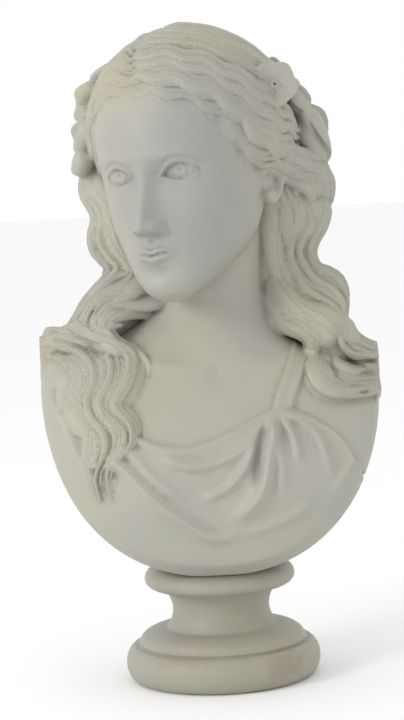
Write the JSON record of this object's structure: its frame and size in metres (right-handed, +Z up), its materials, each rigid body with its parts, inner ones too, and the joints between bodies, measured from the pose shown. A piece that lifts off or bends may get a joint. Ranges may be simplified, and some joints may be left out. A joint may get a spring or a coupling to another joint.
{
  "type": "parian bust",
  "caption": "Pale matt parian bust of a young woman with head turned, parted wavy hair, garland of flowers and draped dress, on a round waisted socle.",
  "frame": {"origin": "middle of the round underside of the socle, on the surface that it stands on", "axes": "+Z up; the chest faces -Y and the head turns from there towards -X; +X is to her left"},
  "size_m": [0.1774, 0.1218, 0.3452],
  "materials": {
    "bust_parian": "matt, smooth-fired unglazed parian, warm greyish white",
    "socle_parian": "matt unglazed parian, a little greyer, with fine pinholes"
  },
  "bodies": {
    "root": {"bust": "bust_parian", "socle": "socle_parian"}
  },
  "joints": []
}
